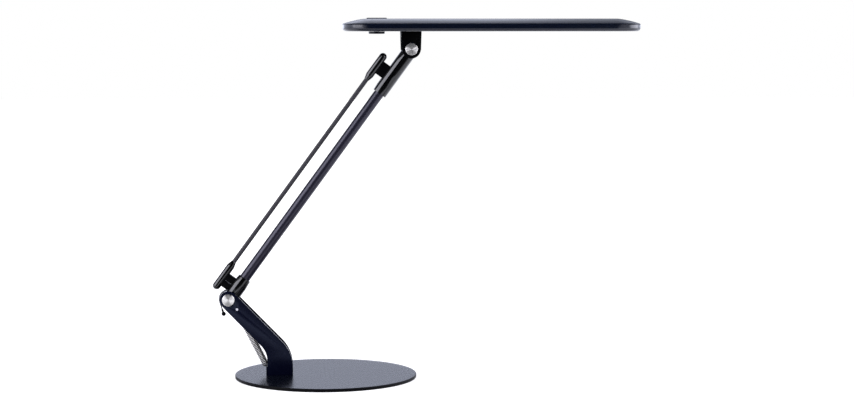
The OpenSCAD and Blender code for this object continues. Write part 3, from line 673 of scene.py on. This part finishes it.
def make_top_shell(finishes):
    near = [DOME_EDGE * (1 - math.cos(math.radians(10 * i))) for i in range(10)]
    far = [DOME_EDGE + (DOME_REACH - DOME_EDGE) * i / 16 for i in range(1, 17)]
    bm = bmesh.new()
    squash = 1 - SEAM_NICK / DOME_H
    outer_rings = [plan_ring(SEAM_NICK, SEAM)]
    outer_rings += [plan_ring(d, SEAM + SEAM_NICK + dome_height(d) * squash) for d in near + far]
    outer_rings.append(plan_ring(PLATEAU_INSET, ROOF))
    rim_out, plateau = loft(bm, outer_rings)
    rim_in, ceiling = loft(bm, [plan_ring(inset, z) for inset, z in TOP_INSIDE])
    bridge(bm, rim_out, rim_in)
    lip = add_loop(bm, circle_ring(CONTROL_X, 0, BUTTON_HOLE_R + BUTTON_BEVEL, ROOF))
    hole_top = add_loop(bm, circle_ring(CONTROL_X, 0, BUTTON_HOLE_R, ROOF - BUTTON_BEVEL))
    hole_low = add_loop(bm, circle_ring(CONTROL_X, 0, BUTTON_HOLE_R, ROOF - WALL))
    fill_with_holes(bm, [plateau, lip])
    bridge(bm, lip, hole_top)
    bridge(bm, hole_top, hole_low)
    fill_with_holes(bm, [ceiling, hole_low])
    shell = finish_mesh(bm, "top_shell_domed", finishes["shell"], Matrix.Translation(UP_PIVOT))
    stand_for(shell, "head", "head_top_shell")


def window_hole(bm, floor_z):
    """The light window, with a bevel round its lower edge; returns its lowest and highest loops."""
    x, length, width = WINDOW
    mid_x = x + length / 2
    lip = add_loop(bm, box_ring(mid_x, length + 2 * WINDOW_BEVEL, width + 2 * WINDOW_BEVEL,
                                WINDOW_CORNER_R + WINDOW_BEVEL, HEAD_LIFT))
    low = add_loop(bm, box_ring(mid_x, length, width, WINDOW_CORNER_R, HEAD_LIFT + WINDOW_BEVEL))
    top = add_loop(bm, box_ring(mid_x, length, width, WINDOW_CORNER_R, floor_z))
    bridge(bm, lip, low)
    bridge(bm, low, top)
    return lip, top


def knob_hole(bm, floor_z):
    low = add_loop(bm, circle_ring(CONTROL_X, 0, KNOB_HOLE_R, HEAD_LIFT))
    top = add_loop(bm, circle_ring(CONTROL_X, 0, KNOB_HOLE_R, floor_z))
    bridge(bm, low, top)
    return low, top


def screw_sink(bm, x, y):
    """A shallow round recess for a screw's head; returns its rim."""
    rim = add_loop(bm, circle_ring(x, y, SINK_R, HEAD_LIFT, SINK_STEPS))
    step = add_loop(bm, circle_ring(x, y, SINK_R, HEAD_LIFT + SINK_DEPTH, SINK_STEPS))
    bridge(bm, rim, step)
    bm.faces.new(step)
    return rim


def make_lower_shell(finishes):
    bm = bmesh.new()
    arc = [math.radians(a) for a in range(0, 91, 9)]
    outer = [plan_ring(UNDERSIDE_INSET, HEAD_LIFT)]
    outer += [plan_ring(EDGE_R * (1 - math.sin(a)), HEAD_LIFT + EDGE_R * (1 - math.cos(a))) for a in arc]
    outer += [plan_ring(0.0, SEAM - SEAM_NICK), plan_ring(SEAM_NICK, SEAM)]
    underside, rim_out = loft(bm, outer)
    floor_z = HEAD_LIFT + WALL
    floor, rim_in = loft(bm, [plan_ring(EDGE_R, floor_z), plan_ring(WALL, floor_z + EDGE_R - WALL),
                              plan_ring(WALL, SEAM)])
    bridge(bm, rim_out, rim_in)
    window_lip, window_top = window_hole(bm, floor_z)
    knob_low, knob_top = knob_hole(bm, floor_z)
    sinks = [screw_sink(bm, x, y) for x, y in SHELL_SCREWS]
    fill_with_holes(bm, [underside, window_lip, knob_low] + sinks)
    fill_with_holes(bm, [floor, window_top, knob_top])
    shell = finish_mesh(bm, "lower_shell_rounded", finishes["shell"], Matrix.Translation(UP_PIVOT))
    stand_for(shell, "head", "head_lower_shell")


# ---------------------------------------------------------------- the whole scene


def dress_frame(finishes):
    """Gives every CAD node its finish; nodes that a finer piece replaces keep theirs unseen."""
    for name, node in NODES.items():
        finish = finishes[NODE_FINISH[name]]
        node.data.materials.clear()
        node.data.materials.append(finish)


bpy.context.scene.view_settings.view_transform = "Standard"
make_camera()
make_world()
make_lights()
make_floor()
finishes = make_finishes()
dress_frame(finishes)
soften_edges(finishes)
make_base(finishes)
make_caps(finishes)
make_spring(finishes)
make_top_shell(finishes)
make_lower_shell(finishes)
